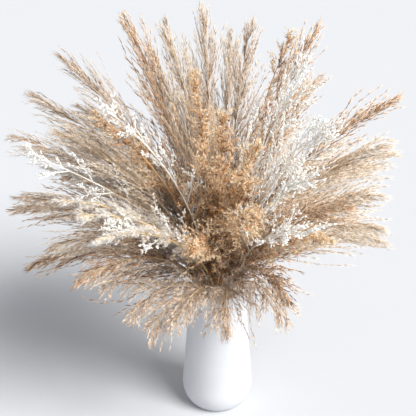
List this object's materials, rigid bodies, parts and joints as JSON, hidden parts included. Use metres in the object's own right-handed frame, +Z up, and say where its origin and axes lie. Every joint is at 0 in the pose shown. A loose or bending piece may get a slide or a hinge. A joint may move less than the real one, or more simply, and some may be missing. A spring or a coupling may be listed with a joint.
{
  "type": "bunch of dried pampas grass in a vase",
  "caption": "Full fan of dried pampas and reed plumes with white sea lavender sprigs, standing in a tapered white stoneware vase.",
  "frame": {"origin": "middle of the vase's foot, on the surface that it stands on", "axes": "+Z up along the vase's axis; -Y is the front of the bunch, the side that it is looked at from; +X is to the right, seen from the front"},
  "size_m": [0.4104, 0.3769, 0.4483],
  "materials": {
    "white_stoneware": "matte",
    "golden_reed": "matte",
    "brown_reed": "matte",
    "taupe_pampas": "matte",
    "cream_pampas": "matte",
    "ivory_plume": "matte",
    "drooping_reed": "matte",
    "sea_lavender": "matte"
  },
  "bodies": {
    "root": {"vase": "white_stoneware", "golden_reed_1": "golden_reed", "golden_reed_2": "golden_reed", "golden_reed_3": "golden_reed", "golden_reed_4": "golden_reed", "golden_reed_5": "golden_reed", "golden_reed_6": "golden_reed", "golden_reed_7": "golden_reed", "golden_reed_8": "golden_reed", "golden_reed_9": "golden_reed", "brown_reed_1": "brown_reed", "brown_reed_2": "brown_reed", "brown_reed_3": "brown_reed", "brown_reed_4": "brown_reed", "brown_reed_5": "brown_reed", "brown_reed_6": "brown_reed", "brown_reed_7": "brown_reed", "brown_reed_8": "brown_reed", "brown_reed_9": "brown_reed", "brown_reed_10": "brown_reed", "brown_reed_11": "brown_reed", "brown_reed_12": "brown_reed", "taupe_pampas_1": "taupe_pampas", "taupe_pampas_2": "taupe_pampas", "taupe_pampas_3": "taupe_pampas", "taupe_pampas_4": "taupe_pampas", "taupe_pampas_5": "taupe_pampas", "taupe_pampas_6": "taupe_pampas", "taupe_pampas_7": "taupe_pampas", "taupe_pampas_8": "taupe_pampas", "taupe_pampas_9": "taupe_pampas", "taupe_pampas_10": "taupe_pampas", "taupe_pampas_11": "taupe_pampas", "taupe_pampas_12": "taupe_pampas", "cream_pampas_1": "cream_pampas", "cream_pampas_2": "cream_pampas", "cream_pampas_3": "cream_pampas", "cream_pampas_4": "cream_pampas", "cream_pampas_5": "cream_pampas", "cream_pampas_6": "cream_pampas", "cream_pampas_7": "cream_pampas", "cream_pampas_8": "cream_pampas", "ivory_plume_1": "ivory_plume", "ivory_plume_2": "ivory_plume", "ivory_plume_3": "ivory_plume", "ivory_plume_4": "ivory_plume", "drooping_reed_1": "drooping_reed", "drooping_reed_2": "drooping_reed", "drooping_reed_3": "drooping_reed", "drooping_reed_4": "drooping_reed", "drooping_reed_5": "drooping_reed", "drooping_reed_6": "drooping_reed", "sea_lavender_1": "sea_lavender", "sea_lavender_2": "sea_lavender", "sea_lavender_3": "sea_lavender", "sea_lavender_4": "sea_lavender", "sea_lavender_5": "sea_lavender", "sea_lavender_6": "sea_lavender", "sea_lavender_7": "sea_lavender", "sea_lavender_8": "sea_lavender"}
  },
  "joints": []
}
